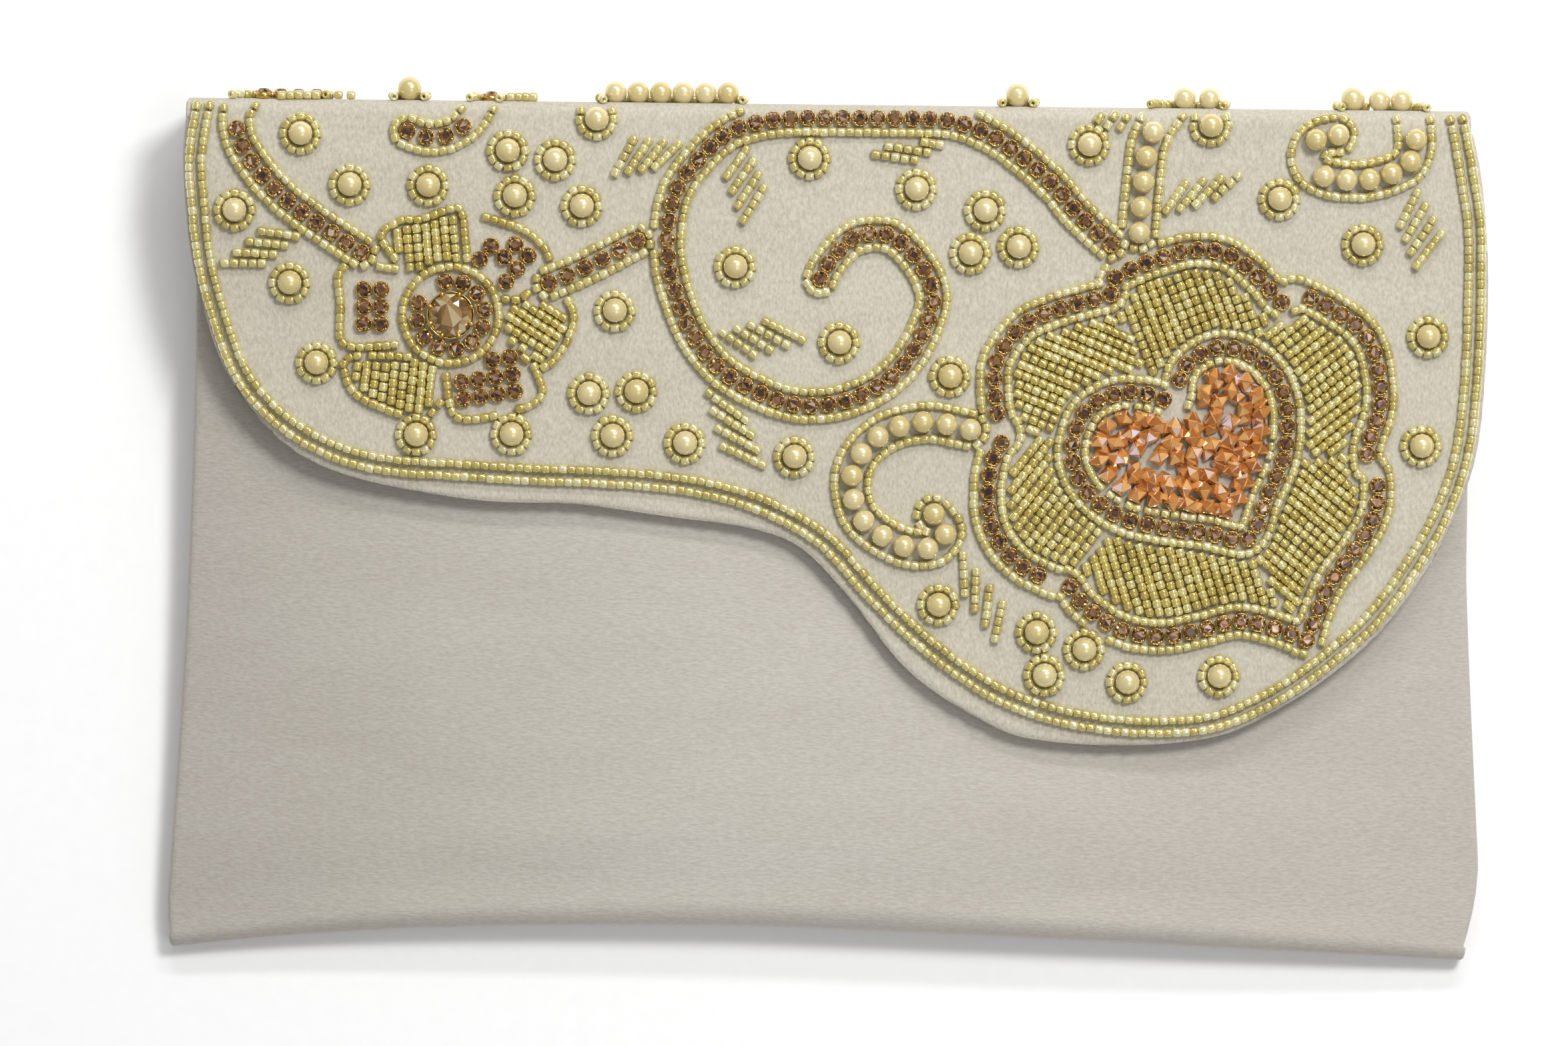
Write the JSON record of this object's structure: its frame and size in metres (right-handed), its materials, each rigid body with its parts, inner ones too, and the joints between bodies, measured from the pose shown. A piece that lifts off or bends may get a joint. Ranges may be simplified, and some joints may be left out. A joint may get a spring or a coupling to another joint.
{
  "type": "clutch purse",
  "caption": "Envelope clutch purse in ivory velvet with an S-curved flap of pearl, seed bead and rhinestone embroidery, lying closed on its back.",
  "frame": {"origin": "centre of the box's bottom face, where the back panel rests", "axes": "+X across the bag, +Y up the bag to the top fold, +Z out of the beaded flap"},
  "size_m": [0.2648, 0.1758, 0.029],
  "materials": {
    "velvet": "short pile velvet",
    "lining": "satin",
    "board": "plain",
    "snap_metal": "polished plate",
    "magnet": "sintered",
    "pearl": "pearl lustre",
    "seed_beads": "silver lined",
    "gold_cup": "bright",
    "topaz_stone": "faceted, foiled back",
    "amber_crystal": "faceted"
  },
  "bodies": {
    "bag": {"back_board": "board", "back_lining": "lining", "back_velvet": "velvet", "front_board": "board", "front_lining": "lining", "front_velvet": "velvet", "gusset_left": "velvet", "gusset_right": "velvet", "snap_magnet": "magnet", "snap_socket_case": "snap_metal", "snap_socket_washer": "snap_metal"},
    "spine": {"spine_cups": "gold_cup", "spine_leaf_beads": "seed_beads", "spine_lining": "lining", "spine_pearl_rings": "seed_beads", "spine_pearls": "pearl", "spine_stones": "topaz_stone", "spine_string_edge_beads": "seed_beads", "spine_string_pearls": "pearl", "spine_velvet": "velvet", "spine_vine_edge_beads": "seed_beads"},
    "flap": {"flap_board": "board", "flap_border_beads_inner": "seed_beads", "flap_border_beads_outer": "seed_beads", "flap_flower_edge_beads": "seed_beads", "flap_heart_crystals": "amber_crystal", "flap_heart_edge_beads": "seed_beads", "flap_leaf_beads": "seed_beads", "flap_lining": "lining", "flap_pearl_rings": "seed_beads", "flap_pearls": "pearl", "flap_petal_beads": "seed_beads", "flap_rosette_beads": "seed_beads", "flap_string_edge_beads": "seed_beads", "flap_string_pearls": "pearl", "flap_velvet": "velvet", "flap_vine_edge_beads": "seed_beads", "flower_cups": "gold_cup", "flower_stones": "topaz_stone", "heart_cups": "gold_cup", "heart_stones": "topaz_stone", "rosette_bezel": "gold_cup", "rosette_centre_stone": "topaz_stone", "rosette_cups": "gold_cup", "rosette_stones": "topaz_stone", "snap_stud": "snap_metal", "snap_stud_washer": "snap_metal", "vine_cups": "gold_cup", "vine_stones": "topaz_stone"}
  },
  "joints": [
    {"name": "spine_fold", "type": "hinge", "parent": "bag", "child": "spine", "pos_m": [0, 0.08199, 0.00091], "axis": [-1, 0, 0], "range_deg": [0, 75]},
    {"name": "flap_fold", "type": "hinge", "parent": "spine", "child": "flap", "pos_m": [0, 0.08199, 0.02329], "axis": [-1, 0, 0], "range_deg": [0, 75]}
  ],
  "couplings": [
    {"joint": "spine_fold", "follows": "flap_fold", "ratio": 1}
  ]
}
